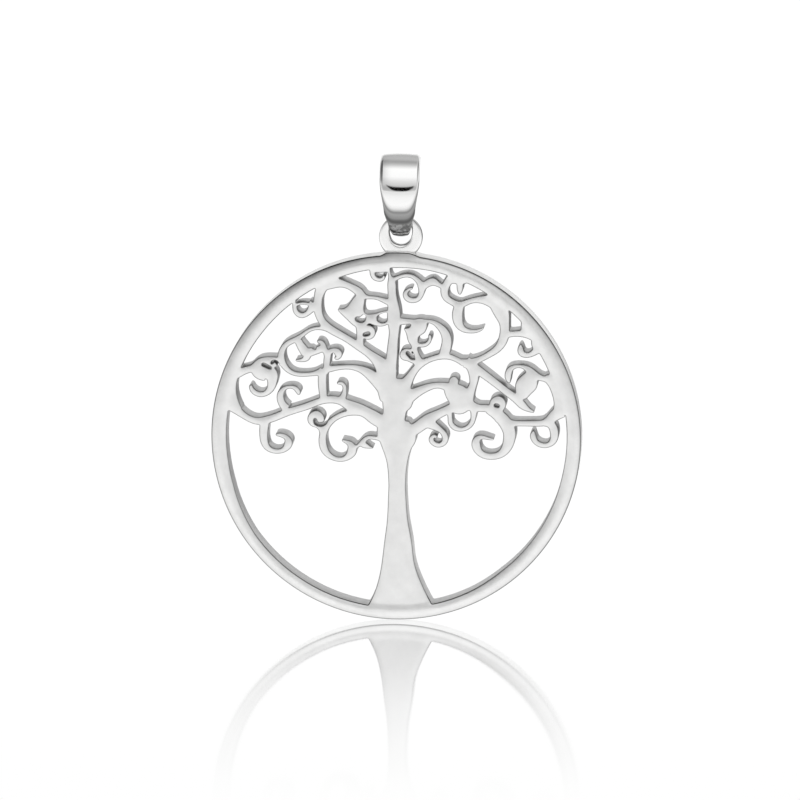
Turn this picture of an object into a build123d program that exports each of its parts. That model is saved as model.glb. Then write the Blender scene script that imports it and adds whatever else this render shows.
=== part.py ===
from build123d import *
import math
import os

# Round tree of life pendant: a cast disc with a pierced tree, and the loop that it hangs
# from. Millimetres, +Z up, front towards -Y. The origin is the top of the loop's inside,
# where a chain bears. The disc hangs in the XZ plane below it.

os.makedirs("parts", exist_ok=True)

# disc
DISC_DIAMETER = 30.0
RIM_WIDTH = 1.2
PLATE_THICKNESS = 2.2
RIM_EDGE_ROUND = 0.3

# ring that is soldered on top of the disc
EYE_HOLE_RADIUS = 0.94
EYE_WIRE_RADIUS = 0.41
EYE_SIDE = 0.35
EYE_SINK = 0.22
FOOT_TOP_WIDTH = 2.3
FOOT_BASE_WIDTH = 3.0
FOOT_RISE = 0.4
FOOT_SINK = 0.15
FOOT_THICKNESS = 0.8

# loop: an oval strip seen from the side, a narrowing tongue seen from the front
BAIL_STRIP = 0.5
BAIL_HALF_DEPTH = 2.0
BAIL_UPPER = 2.9
BAIL_LOWER = 3.7
BAIL_WIDTH = 3.17
BAIL_TOP_WIDTH = 2.9
BAIL_FOOT_WIDTH = 1.46
BAIL_TIP_WIDTH = 1.05
SEAT_GAP = 0.07

# the loop's outline from the front: share of the height from its top down to the
# seat, and share of the way from the foot's width to the full width
BAIL_OUTLINE = [(0.19, 1.0), (0.42, 0.96), (0.62, 0.74), (0.77, 0.45), (0.86, 0.27), (1.0, 0.0)]

# dependent sizes
DISC_RADIUS = DISC_DIAMETER / 2
RIM_MID = DISC_RADIUS - RIM_WIDTH / 2
UNIT = RIM_MID / 100
BAIL_TOP = BAIL_STRIP
BAIL_MIDDLE = BAIL_TOP - BAIL_UPPER
BAIL_BOTTOM = BAIL_MIDDLE - BAIL_LOWER
BAIL_SEAT = BAIL_BOTTOM + BAIL_STRIP
EYE_RADIUS = EYE_HOLE_RADIUS + EYE_WIRE_RADIUS
EYE_OUTER = EYE_RADIUS + EYE_WIRE_RADIUS
SEAT_RISE = math.sqrt(EYE_HOLE_RADIUS**2 - (BAIL_FOOT_WIDTH / 2) ** 2)
EYE_Z = BAIL_SEAT + SEAT_GAP - SEAT_RISE
DISC_X = -EYE_SIDE
DISC_Z = EYE_Z - EYE_OUTER + EYE_SINK - DISC_RADIUS

# a limb narrower than this many hundredths at an end has a rounded tip there
TIP_WIDTH = 2.3
# places along a limb, for each row of its table, that its two edges pass through
STEPS_PER_ROW = 3

# Limbs as flat bands. Each row is x, z and width on the band's middle line, in
# hundredths of the rim's middle radius, from the disc's centre.
# the trunk and the upright that carries on from it to the crown
TRUNK_LIMBS = {
    "trunk": [
        (2.5, -98, 42), (2.4, -93.5, 36), (2.2, -88, 30.5), (1.9, -82.7, 26),
        (1.3, -71, 19.4), (1.3, -60, 16.8), (1, -48, 13.1), (0.8, -36, 11.4),
        (0.6, -24, 10.6), (0.5, -16, 11.5), (0.4, -10, 14.5), (0.4, -5, 18.6),
        (0.5, -1, 21.6), (-0.6, 4, 19), (-1.8, 9, 14.6), (-1, 13.5, 13.2),
        (-0.6, 16.3, 14.8), (0.3, 20.3, 18.4), (-1.5, 27, 18.5), (-2.6, 33.5, 17),
    ],
    "leader": [
        (-3.4, 29, 7), (-3.2, 36, 7), (-2.9, 42, 6.6), (-2.3, 48, 6.4), (-1.8, 54, 5.8),
        (-1.2, 60, 6), (-1.3, 66, 7.6), (-1.5, 72, 7.2), (-2.1, 78, 5.4), (-2.5, 84, 5),
        (-2.7, 88, 4.6), (-3.6, 91.5, 2), (-4.3, 95, 1.8), (-4.5, 98, 2.5),
    ],
}

# limbs and curls of the left half, from the rim's top down
LEFT_LIMBS = {
    "upper_left": [
        (-5, 35, 12), (-9.7, 42.2, 7.6), (-15, 46.9, 4.9), (-21, 51.2, 4.8),
        (-28, 55.8, 4.3), (-34, 59.2, 4.7), (-39.5, 63, 4.8), (-43, 68, 4.6),
        (-44.2, 74, 5), (-43.9, 79, 5.2), (-42.3, 84, 6.6), (-40.5, 89, 10),
    ],
    "fork": [
        (-10, 37, 4.4), (-6.5, 34, 5), (-3, 31, 5),
    ],
    "crown_left": [
        (-1, 75.5, 5), (-7, 77.4, 3), (-12.5, 79, 2.1), (-17, 79.4, 2.8),
        (-20.5, 81.8, 4.8), (-25, 84.8, 4.2), (-30, 86.8, 4.4), (-35, 87.6, 7),
        (-41, 88, 10),
    ],
    "small_bridge": [
        (-3, 71.2, 1.6), (-8, 70.6, 1.1), (-13, 68, 3.4),
    ],
    "small_loop": [
        (-4, 67.5, 2), (-5, 64.9, 1.9), (-8, 63.6, 2.1), (-11.5, 64.6, 3.4),
        (-15, 66.5, 4),
    ],
    "ring_stem": [
        (-21.5, 68, 6), (-20.5, 62, 4.6), (-20.4, 57, 4.2), (-20.6, 52, 5),
    ],
    "rim_curl": [
        (-58.4, 79, 2.4), (-57.3, 75, 2.4), (-56.6, 71.3, 3), (-53.6, 68.9, 3.2),
        (-50.4, 69.9, 3.2), (-48.1, 72.3, 4.2), (-46, 76, 6),
    ],
    "rim_curl_top": [
        (-46, 74.4, 2), (-49.5, 75.4, 1.7), (-53, 75.7, 1.5), (-57, 74.6, 1.8),
    ],
    "crown_fill": [
        (-14, 95.2, 4), (-9, 95.3, 4.4), (-4.8, 95.4, 4),
    ],
    "crown_curl": [
        (-13.9, 97.5, 3), (-13.6, 93.5, 2.9), (-12.7, 90.7, 2.9), (-10.2, 89.2, 2.4),
        (-7.9, 89.5, 2.3), (-7.1, 91, 1.6),
    ],
    "left_arch": [
        (-37, 60.5, 4), (-41, 61.6, 2.8), (-45, 61.6, 2.2), (-49.5, 60.2, 2.3),
        (-53.5, 57.3, 2.8), (-57.8, 54.8, 3.3), (-61.5, 52.8, 3.4), (-64.2, 49.2, 3.7),
        (-64.8, 44.5, 4.2), (-62.6, 39.6, 3.6), (-58.5, 36.2, 2.8), (-53.5, 35.2, 2.7),
        (-48, 35.5, 2.7), (-42, 37, 5),
    ],
    "stem_head": [
        (-43.8, 36.6, 3.6), (-41.2, 37, 4.2), (-38.4, 37.4, 3.8),
    ],
    "left_patch_arm": [
        (-55.2, 55, 4.5), (-53.6, 51.5, 5), (-51.5, 48.3, 5.6), (-50.5, 45.3, 4.6),
        (-53, 43.5, 2.6), (-56.2, 43.3, 1.4),
    ],
    "left_patch": [
        (-50, 47.6, 5.6), (-46, 48.6, 4.6), (-42, 50, 4.4),
    ],
    "left_hook": [
        (-39.5, 41.5, 3), (-39.4, 47, 3.2), (-40.6, 50.5, 3.4), (-41.6, 52.9, 3),
        (-43.8, 54, 2),
    ],
    "left_fern": [
        (-40.5, 36, 3.6), (-39.2, 41, 3.9), (-38.7, 45.5, 4), (-37.2, 48.4, 3.2),
        (-34.6, 48.9, 3.2), (-32.7, 47, 4.8), (-33, 45.4, 3.8), (-34, 44.6, 2),
    ],
    "d_top": [
        (-40.5, 38, 4.6), (-36, 38.7, 3.6), (-30, 39.4, 2.8), (-25, 39.4, 3.2),
        (-20, 38.2, 4.3), (-15, 35.4, 6.2), (-10.5, 31, 7), (-7.2, 25.5, 6), (-5.6, 20, 6),
    ],
    "left_stem": [
        (-41.3, 36.5, 4.9), (-41.7, 32, 5.1), (-41.5, 27, 4.9), (-41, 21.5, 4.4),
    ],
    "left_low": [
        (-3, 6, 10), (-9, 8.6, 8), (-13, 11, 7.8), (-17, 13.6, 6.8), (-21, 15.4, 7),
        (-26, 17.4, 6.4), (-31, 20, 4.9), (-37, 21, 4.5), (-43, 20, 4.2), (-50, 17.3, 4.3),
        (-57, 15.1, 4.3), (-63, 13.2, 4.6), (-68.5, 10.9, 4.6), (-73.5, 9.4, 4.6),
        (-79, 8.8, 4.2), (-85, 11.2, 3.9), (-90, 15, 5.4), (-95, 19, 8),
    ],
    "left_top": [
        (-96, 35, 8), (-90, 35.6, 5.6), (-85.5, 37.5, 4.4), (-81, 39, 4.4),
        (-76.5, 41.5, 6.6), (-71, 42.3, 6.6), (-66, 43, 5),
    ],
    "left_wall": [
        (-90, 38, 5), (-92.3, 31.5, 5.2), (-93, 25.5, 5.8), (-91.8, 19.5, 6),
        (-88.5, 14.5, 4.4),
    ],
    "shoulder": [
        (-79, 39, 6), (-74.8, 37, 10.4), (-71, 35.5, 8.8), (-69.9, 31.5, 5.8),
        (-70.5, 28.4, 4.8), (-72.6, 25.4, 3.7), (-76.5, 24, 3.2), (-80.2, 25.4, 3.1),
        (-82, 28.5, 2.2),
    ],
    "left_curl": [
        (-61.5, 15.5, 5), (-64.2, 18.5, 4.6), (-65.4, 22, 4.2), (-64.8, 25.4, 3.6),
        (-62.4, 27.7, 2.4), (-59.3, 28.2, 2.1), (-56.8, 27.3, 2.7), (-55.4, 25.6, 3),
        (-55.1, 24.5, 2.2),
    ],
    "lower_left_volute": [
        (-74.3, 8, 5.4), (-74.7, 5, 5.2), (-74.9, 0, 4.8), (-74.2, -4, 4.3),
        (-71.8, -7.2, 3.4), (-67.5, -8.6, 2.9), (-63.2, -7.4, 3.6), (-60.9, -3.8, 4.8),
        (-62, -0.8, 3.2), (-64.5, 0.5, 2.6), (-67.3, 0.9, 1.8),
    ],
    "d_hook": [
        (-31.5, 20.5, 4), (-29.7, 23.5, 3.6), (-29.1, 26.5, 2.6), (-29.4, 29, 2.4),
        (-31, 30.3, 2.2), (-32.7, 30.3, 1.8),
    ],
    "hollow_volute": [
        (-17, 13.3, 5), (-24, 13.6, 3.6), (-30, 12.5, 3.4), (-35.4, 9.7, 3.4),
        (-39.3, 5.5, 3.9), (-41.4, 0.5, 4.3), (-41.4, -5, 4.6), (-39.8, -9, 4.2),
        (-36.3, -12.1, 3.2), (-31.5, -13.3, 2.9), (-27.2, -11.6, 4.2), (-25, -8, 5.6),
        (-25.7, -5, 4.2), (-28, -3.4, 2.4), (-30.2, -2.5, 1.4),
    ],
    "small_stem": [
        (-41.5, 0, 4.3), (-42.2, 4.5, 4), (-45.5, 7.5, 5),
    ],
    "hollow_twig": [
        (-8, -1, 5), (-12.5, -0.9, 2.3), (-16.5, -1, 2.7), (-19.4, -3.5, 3),
        (-21.5, -5.3, 2.2), (-24, -6.8, 3),
    ],
    "hollow_side": [
        (-8.4, 8, 3), (-9.3, 4, 3.4), (-9.2, 0, 3.2),
    ],
    "hollow_leaf": [
        (-20.5, -4.2, 2.2), (-17.8, -5.2, 3.6), (-15.2, -6.3, 1.8), (-13.3, -6.8, 0.8),
    ],
}

# limbs and curls of the top, right of the upright
CROWN_LIMBS = {
    "crown_volute": [
        (-3.6, 88.2, 2.8), (0.2, 90, 2.5), (4.5, 91.4, 2.3), (8.5, 91, 2.4),
        (12, 88.6, 3.2), (14.2, 85, 4.2), (13.9, 81, 3.4), (12, 78, 3), (9, 77.3, 3.2),
        (6, 78.6, 3.3), (5, 81.2, 2.8), (6.5, 83.2, 2), (8.5, 84, 1.4),
    ],
    "crown_right": [
        (13.8, 83.5, 5), (17.2, 86.7, 4.4), (20.5, 87.8, 4.6), (23.5, 86.4, 3.2),
        (26.5, 85, 3),
    ],
    "crown_right_fill": [
        (28.5, 89.8, 5), (34, 89.6, 5.8), (39.5, 89.2, 4.6),
    ],
    "crown_c": [
        (33, 92, 6), (28.8, 87.6, 4.8), (27, 83, 4.6), (27.8, 79.2, 4.2), (31, 76.6, 3.8),
        (35.5, 75, 4), (40.5, 76.8, 3.3), (45.5, 77.9, 3.8), (50.5, 77.8, 6), (57, 76, 10),
    ],
    "crown_tongue": [
        (35.5, 90, 5), (35.7, 86, 3.8), (35.6, 82.5, 2.9), (35.6, 81.6, 2),
    ],
    "column": [
        (35.8, 75, 5.2), (34.5, 71.5, 6), (34.3, 68, 6.1), (35.2, 64, 5.2), (38, 61, 3.6),
        (41.5, 60, 2.6), (45, 60.2, 2.2), (49, 62, 0.6),
    ],
    "crown_ring_limb": [
        (-1, 65.6, 5), (4, 65.4, 3.9), (10, 65.4, 2.7), (16, 65.6, 2.2), (20.5, 64.9, 2.6),
        (24.5, 62.3, 4), (27.4, 58.6, 5.2), (28.4, 54, 5.8), (27.6, 49.5, 6),
        (26.7, 46, 6),
    ],
    "inner_hook": [
        (10, 52.5, 4), (13, 51.8, 2.6), (16.2, 52, 2.5), (18.3, 53.8, 2.3), (18.8, 57, 2),
    ],
    "inner_stem": [
        (13.6, 41.5, 4.5), (12, 45, 3.6), (10.6, 49, 3.2), (10.2, 54, 6),
    ],
    "inner_eye_top": [
        (3.6, 48.4, 2), (7, 49, 1.8), (10.5, 49.6, 2.4),
    ],
    "inner_eye_foot": [
        (6, 44, 2.2), (9, 42.8, 2.6), (12.5, 41.5, 3),
    ],
    "crescent_top": [
        (4, 29, 10), (7.8, 34, 5.2), (11.3, 38.9, 4.4), (15, 41.9, 4), (19.5, 43.9, 3.3),
        (24, 45.3, 3.6), (29, 45.5, 3.6), (33.5, 44, 3.2), (38, 41.6, 4),
    ],
}

# limbs and curls of the right half, from the rim's top down
RIGHT_LIMBS = {
    "right_shoulder": [
        (54.5, 82, 9), (57.4, 74.5, 9.6), (59.6, 69, 8.2), (60.7, 64, 5.8),
        (60.6, 58, 5.6), (57.3, 50.9, 4.7), (52, 46.9, 3.9), (46.5, 44, 3.8),
        (40, 42.2, 4.4), (36, 42.8, 3.4),
    ],
    "right_bridge": [
        (60, 58.4, 6), (66, 58.7, 3.4), (72, 59, 5), (78, 58, 8),
    ],
    "right_fill": [
        (73.4, 68, 6), (72.6, 63, 5.6), (72.4, 58, 5),
    ],
    "right_curl_fill": [
        (80, 57, 6.5), (78.4, 52.5, 5.2), (80, 49.5, 4),
    ],
    "right_rim_fill": [
        (80.5, 53, 5.5), (83.8, 47, 5.5), (86.6, 41.5, 5.5), (89, 36, 5.5),
    ],
    "low_rim_fill": [
        (83.4, 33.6, 4.2), (88.7, 30, 6.8), (90.8, 25.2, 7), (91.7, 20, 6.6),
        (90.8, 14.5, 6.2),
    ],
    "arch_root": [
        (85.6, 35, 2.6), (88.5, 35.2, 3.4), (92, 35.5, 4),
    ],
    "flat_root": [
        (91, 16, 6), (94.2, 15.4, 5.4), (97, 14.8, 5),
    ],
    "right_curl": [
        (84, 52.5, 6), (80, 50.3, 5), (77, 48, 3.8), (73.5, 46.6, 3.1), (70.2, 48, 3.8),
        (69.7, 50.6, 3.2), (69.8, 52.2, 1.4),
    ],
    "arch": [
        (63.3, 31.6, 2.2), (62.8, 34.8, 4), (63.9, 38.4, 3.6), (67.3, 40.2, 2.2),
        (71, 40, 2.4), (75, 37.8, 4.2), (79.5, 34.4, 4), (84.5, 33, 3.4), (90, 33, 5),
        (96, 33, 6),
    ],
    "diagonal": [
        (39, 42.5, 7), (43.5, 39.8, 5.4), (48.5, 36.2, 5), (53, 32.8, 4.8),
        (58, 28.8, 4.6), (63, 25, 4.6), (67.8, 21.3, 5), (71.3, 17.8, 4.6),
        (74.3, 15.6, 2.8), (76.8, 14.5, 1.7),
    ],
    "flat_limb": [
        (57.5, 12, 8), (60.3, 10.2, 6), (64, 8.2, 4), (70, 7.7, 3.4), (78, 7.7, 3.6),
        (84, 8.6, 4.4), (88.5, 12, 6.5), (94, 15, 7),
    ],
    "rim_volute": [
        (83, 8.5, 5), (87.5, 6.6, 5), (88.9, 2, 4.9), (88.2, -2, 4.2), (85, -4.6, 3.1),
        (81, -4.4, 3.2), (78, -2.2, 3.4), (76.9, 0.6, 3.6), (77, 2.6, 2.2),
    ],
    "great_volute": [
        (51.5, 16, 5.5), (57.5, 12.2, 7), (61.8, 7.2, 7.6), (63.7, 2, 7.3),
        (63.4, -2, 6.8), (61.8, -6.5, 5.8), (58.6, -9.9, 4.6), (54.3, -11.2, 4),
        (50, -10.8, 4), (46.6, -8.6, 4.5), (44.9, -5, 5.2), (45.4, -1.6, 4.2),
        (48, -0.3, 2.7), (51.5, -0.9, 1.9), (54.6, -1.5, 0.9),
    ],
    "centre_right": [
        (32, 17, 7), (37.5, 20.5, 10.5), (37, 24, 9), (32.5, 27, 7), (28, 28.4, 5),
        (23, 29, 3.7), (18, 27.9, 4.4), (13, 25.8, 5.5), (7, 22.5, 8),
    ],
    "centre_column": [
        (39.5, 20, 9), (41.2, 25, 6), (43.2, 30, 4.6), (43.6, 34.5, 5.6),
        (42.4, 38.5, 5.4), (39.5, 41.8, 5),
    ],
    "centre_fill": [
        (28.3, 28.6, 3), (30.3, 24.2, 6), (32.5, 20.2, 6), (34.5, 17, 6),
    ],
    "right_low": [
        (0, 1, 12), (7, 2.2, 7.6), (12, 5, 7), (17, 8.7, 7.2), (22, 11.7, 5.8),
        (28, 14.8, 5.2), (34, 17.4, 6), (40, 18.2, 7), (46, 16.4, 4.6), (50, 16.3, 4.4),
        (55, 14.5, 6),
    ],
    "ring_limb": [
        (30.6, 10.5, 2.8), (30.8, 7.2, 3.2), (33, 4.9, 3.3), (36, 4, 2.7),
        (39.5, 4.9, 2.8), (42.3, 7.6, 3), (43.4, 11.3, 3.3), (43.6, 16, 5),
    ],
    "ring_side": [
        (30.3, 8.5, 2.6), (30.2, 11.5, 2.9), (29.9, 14.5, 3),
    ],
    "small_volute": [
        (17.5, 8, 7), (20.3, 6.4, 5.6), (23, 4.8, 4.2), (25.2, 3.2, 3.3), (26.9, 1.2, 3.6),
        (27.6, -1.4, 3.7), (26.4, -4.1, 3.2), (23.6, -5.2, 2.9), (20.8, -4, 3),
        (19.6, -1.8, 2.9), (20.6, -0.2, 2.4), (22.2, -0.4, 2),
    ],
}

# flat patches where limbs broaden: x and z of points round their smooth outline
PATCHES = {
    "crown_patch": [
        (-32, 72.7), (-28, 74), (-25, 78), (-21, 81), (-17.8, 78.5), (-18.2, 73.5),
        (-17, 69.8), (-12, 69.5), (-11, 65.5), (-15, 64.3), (-19, 61.5), (-24, 62.9),
        (-28, 66.6),
    ],
    "inner_patch": [
        (4.2, 60.8), (5.7, 57.5), (7.4, 52.5), (10.5, 51), (12.3, 53.5), (12.4, 56),
        (15.5, 58.5), (17.3, 62), (17, 65.5), (10, 66.5), (8.3, 64.6), (7, 62),
    ],
    "arch_blob": [
        (66.7, 28), (67.6, 32), (70.5, 35.3), (74, 37.5), (78.5, 35), (79.5, 31.5),
        (78.6, 27.5), (75.5, 24.2), (72.5, 21.5), (68.5, 22.5),
    ],
}

# round eyes at the ends of curls: x, z and radius
EYES = {
    "small_eye": (-45.3, 9.8, 4.9),
    "ring_eye": (-15.8, 59.2, 4.2),
    "inner_eye": (5.4, 46.5, 3.6),
    "right_eye": (57, 18.6, 4.8),
    "crescent_knob": (32.3, 31.4, 2.9),
}

# narrow slits cut through the patches and eyes: x, z and width along the middle line
SLITS = {
    "left_patch_slit": [(-50.6, 56.4, 2.4), (-48.4, 53.3, 2.4), (-46, 50.6, 2)],
    "shoulder_slit": [(-75, 41.1, 1.8), (-71.2, 39.3, 1.8)],
    "shoulder_arch": [(-66.6, 40.2, 1.2), (-67.2, 42.2, 1.2), (-68.7, 43, 1.2), (-70.2, 41.8, 1.2)],
    "small_eye_slit": [(-39.6, 8.6, 1.4), (-41.5, 6.9, 1.8), (-44.2, 6.8, 2), (-45.8, 9.4, 1.6)],
    "ring_eye_hole": [(-17.8, 57.9, 1.9), (-15.7, 58.6, 1.9)],
    "inner_eye_slit": [(6.3, 47.5, 1.9), (8.8, 44.7, 1.9)],
    "right_eye_hole": [(55.9, 18, 1.9), (57, 17.7, 1.9)],
    "crown_patch_gap": [(-22, 66.9, 2.2), (-19.5, 66.6, 3.2), (-18.2, 68.6, 2)],
}


def band(rows):
    """Flat band along a smooth middle line, rounded at narrow ends, square at wide ones."""
    line = Spline(*[(x * UNIT, z * UNIT, width * UNIT) for x, z, width in rows])
    steps = STEPS_PER_ROW * (len(rows) - 1)
    left, right = [], []
    for step in range(steps + 1):
        place = line @ (step / steps)
        along = line % (step / steps)
        along = Vector(along.X, along.Y).normalized()
        side = Vector(-along.Y, along.X) * (place.Z / 2)
        middle = Vector(place.X, place.Y)
        left.append(middle + side)
        right.append(middle - side)
        if step == 0:
            start_tip = middle - along * (place.Z / 2)
        if step == steps:
            end_tip = middle + along * (place.Z / 2)
    edges = [Spline(*left), Spline(*right)]
    for a, b, tip, width in (
        (left[0], right[0], start_tip, rows[0][2]),
        (left[-1], right[-1], end_tip, rows[-1][2]),
    ):
        if width < TIP_WIDTH:
            edges.append(ThreePointArc(a, tip, b))
        else:
            edges.append(Line(a, b))
    return make_face(edges)


def patch(points):
    """Flat patch with a smooth closed outline."""
    return make_face(Spline(*[(x * UNIT, z * UNIT) for x, z in points], periodic=True))


def eye_spot(x, z, radius):
    """Round flat end of a curl."""
    return Pos(x * UNIT, z * UNIT) * Circle(radius * UNIT)


def tree_sketch():
    """The tree's flat outline, with every gap open, clipped to the rim."""
    limbs = {**TRUNK_LIMBS, **LEFT_LIMBS, **CROWN_LIMBS, **RIGHT_LIMBS}
    shapes = [band(rows) for rows in limbs.values()]
    shapes += [patch(points) for points in PATCHES.values()]
    shapes += [eye_spot(*spot) for spot in EYES.values()]
    tree = Sketch() + shapes
    tree -= [band(rows) for rows in SLITS.values()]
    tree = tree & Circle(RIM_MID)
    rim = Circle(DISC_RADIUS) - Circle(DISC_RADIUS - RIM_WIDTH)
    return tree + rim


def tree_disc():
    """Rim, tree and eye ring, cast and soldered to one solid."""
    outline = Pos(DISC_X, DISC_Z) * tree_sketch()
    plate = extrude(Plane.XZ * outline, PLATE_THICKNESS / 2, both=True)
    rim_edges = plate.edges().filter_by(GeomType.CIRCLE).group_by(lambda edge: edge.radius)[-1]
    plate = fillet(rim_edges, RIM_EDGE_ROUND)
    ring = Pos(0, 0, EYE_Z) * Rot(90, 0, 0) * Torus(EYE_RADIUS, EYE_WIRE_RADIUS)
    disc_top = DISC_Z + DISC_RADIUS
    foot_side = Polyline(
        (-FOOT_BASE_WIDTH / 2, disc_top - RIM_WIDTH / 2),
        (-FOOT_BASE_WIDTH / 2, disc_top - FOOT_SINK),
        (-FOOT_TOP_WIDTH / 2, disc_top + FOOT_RISE),
        (FOOT_TOP_WIDTH / 2, disc_top + FOOT_RISE),
        (FOOT_BASE_WIDTH / 2, disc_top - FOOT_SINK),
        (FOOT_BASE_WIDTH / 2, disc_top - RIM_WIDTH / 2),
        close=True,
    )
    foot_face = make_face(foot_side) - Pos(0, EYE_Z) * Circle(EYE_RADIUS)
    foot = extrude(Plane.XZ * foot_face, FOOT_THICKNESS / 2, both=True)
    return plate + foot + ring


def oval(half_depth, upper, lower):
    """Side view of the loop's surface: two half ellipses that meet at its deepest level."""
    centre = (0, BAIL_MIDDLE)
    top = EllipticalCenterArc(centre, half_depth, upper, start_angle=0, arc_size=180)
    bottom = EllipticalCenterArc(centre, half_depth, lower, start_angle=180, arc_size=180)
    return make_face([top, bottom])


def bail():
    """Strip bent to an oval loop, cut to its tapering front outline."""
    inner = oval(BAIL_HALF_DEPTH - BAIL_STRIP, BAIL_UPPER - BAIL_STRIP, BAIL_LOWER - BAIL_STRIP)
    side = oval(BAIL_HALF_DEPTH, BAIL_UPPER, BAIL_LOWER) - inner
    loop = extrude(Plane.YZ * side, BAIL_WIDTH, both=True)
    height = BAIL_TOP - BAIL_SEAT
    right = [(BAIL_TOP_WIDTH / 2, BAIL_TOP)]
    for down, spread in BAIL_OUTLINE:
        width = BAIL_FOOT_WIDTH + spread * (BAIL_WIDTH - BAIL_FOOT_WIDTH)
        right.append((width / 2, BAIL_TOP - down * height))
    left = [(-x, z) for x, z in right]
    tip = BAIL_TIP_WIDTH / 2
    edges = [
        Line(left[0], right[0]),
        Spline(*right),
        Line(right[-1], (tip, BAIL_BOTTOM)),
        Line((tip, BAIL_BOTTOM), (-tip, BAIL_BOTTOM)),
        Line((-tip, BAIL_BOTTOM), left[-1]),
        Spline(*left),
    ]
    outline = extrude(Plane.XZ * make_face(edges), 2 * BAIL_HALF_DEPTH, both=True)
    return loop & outline


NODES = {"tree_disc": tree_disc(), "bail": bail()}
for name, node in NODES.items():
    export_step(node, f"parts/{name}.step")
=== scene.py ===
"""Round silver tree of life pendant on its loop, on a pale glossy table in soft light."""

import math

import bmesh
import bpy
import numpy as np
from mathutils import Matrix, Vector
from mathutils.geometry import delaunay_2d_cdt


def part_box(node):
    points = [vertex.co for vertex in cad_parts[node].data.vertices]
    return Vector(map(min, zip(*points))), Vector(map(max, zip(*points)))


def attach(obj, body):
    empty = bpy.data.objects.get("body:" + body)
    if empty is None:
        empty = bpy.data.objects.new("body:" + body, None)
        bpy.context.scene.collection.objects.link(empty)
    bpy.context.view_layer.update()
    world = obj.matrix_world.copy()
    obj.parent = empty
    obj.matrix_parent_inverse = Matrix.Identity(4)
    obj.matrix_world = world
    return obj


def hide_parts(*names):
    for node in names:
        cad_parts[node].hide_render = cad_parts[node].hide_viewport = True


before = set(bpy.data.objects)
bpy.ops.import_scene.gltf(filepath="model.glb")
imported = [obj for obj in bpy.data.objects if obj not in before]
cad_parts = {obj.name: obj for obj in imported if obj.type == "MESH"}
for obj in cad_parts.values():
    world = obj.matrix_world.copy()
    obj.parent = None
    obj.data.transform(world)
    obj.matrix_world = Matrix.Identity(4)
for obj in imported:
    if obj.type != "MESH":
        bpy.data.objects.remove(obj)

bl_info = {
    "name": "Tree of life pendant",
    "version": (1, 0, 0),
    "blender": (4, 5, 0),
    "location": "View3D > Sidebar > Pendant",
    "description": "Builds the pierced disc, its eye ring, its loop and the stage",
    "category": "Object",
}

MM = 0.001
DISC_LOW, DISC_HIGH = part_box("tree_disc")
BAIL_LOW, BAIL_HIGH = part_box("bail")
DISC_RADIUS = (DISC_HIGH.x - DISC_LOW.x) / 2
DISC_X = (DISC_HIGH.x + DISC_LOW.x) / 2
DISC_Z = DISC_LOW.z + DISC_RADIUS
FRONT = DISC_LOW.y
BACK = DISC_HIGH.y
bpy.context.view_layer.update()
# Places closer than this are one place.
NEAR = 1e-4 * MM
# How far the camera stands round to the right of the pendant's front.
CAMERA_TURN = math.radians(4.5)
WHITE = (1, 1, 1, 1)


# -------- settings


def number(name, description, value, **kind):
    """Property for a number."""
    return bpy.props.FloatProperty(name=name, description=description, default=value, **kind)


def length(name, description, millimetres):
    """Property for a length whose default is given in mm."""
    return number(name, description, millimetres * MM, unit="LENGTH")


def tint(name, description, colour):
    """Property for a colour."""
    return bpy.props.FloatVectorProperty(
        name=name, description=description, default=colour, size=3, subtype="COLOR"
    )


class DiscSettings(bpy.types.PropertyGroup):
    """Sizes and tone of the cast disc."""

    edge_round: length("Edge rounding", "Radius on the branches' edges", 0.12)
    edge_rise: length("Edge depth", "Depth of that rounding", 0.08)
    rim_round: length("Rim rounding", "Radius on the rim's outer edge", 0.14)
    rim_width: length("Rim width", "Width of the round rim", 1.2)
    pillow_height: length("Pillow height", "Height of a wide limb's middle over its edges", 0.07)
    pillow_reach: length("Pillow reach", "How far from an edge the tumbled face bends", 0.30)
    rim_crest: length("Rim crest", "Distance of the rim's crest from its outer edge", 0.65)
    rim_fall: length("Rim fall", "How far the rim drops from its crest to its outer edge", 0.15)
    tree_sink: length("Tree sink", "How far the tree's face lies under the rim's crest", 0.08)
    back_share: number("Back rounding", "Rounding of the flat back as a share of the front's", 0.6)
    saddle: length("Saddle", "How far solder raises the rim under the ring", 0.22)
    # Painted shade: how dark the rim's outer shoulder is painted round the top, under the soldered
    # ring.
    top_shade: number("Painted top shade", "How dark the rim's shoulder is by the soldered ring", 0.75)
    corner_blend: length("Corner blend", "How far a gap's corners are rounded off", 0.07)
    spacing: length("Point spacing", "Distance between points along the outlines", 0.085)
    colour: tint("Satin silver", "Colour of the cast silver's faces", (0.87, 0.87, 0.865))
    # Painted shade: colour painted on the gaps' walls, the branches' rounded edges and the rim's
    # outer edge in place of their shade.
    painted_shade: tint("Recess silver", "Colour of the walls inside the gaps", (0.12, 0.12, 0.12))


class EyeSettings(bpy.types.PropertyGroup):
    """Sizes of the ring soldered on the disc."""

    hole_radius: length("Hole radius", "Radius of the ring's hole", 0.88)
    outer_radius: length("Outer radius", "Radius of the ring's outside", 1.755)
    hole_rise: length("Hole rise", "Height of the hole's middle over the ring's middle", 0.27)
    drop: length("Drop", "How far the ring's middle lies under the loop's plain foot", 0.18)
    wear: length("Wear", "How far the loop has worn the hole's top", 0.28)
    half_depth: length("Half depth", "Half the ring's depth", 0.41)
    colour: tint("Ring silver", "Colour of the ring", (0.97, 0.97, 0.965))
    # Painted shade: dark colour painted on the ring's inner and outer sides.
    side_shade_colour: tint(
        "Ring's side", "Colour of the ring's inner and outer sides", (0.18, 0.18, 0.18)
    )


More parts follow.
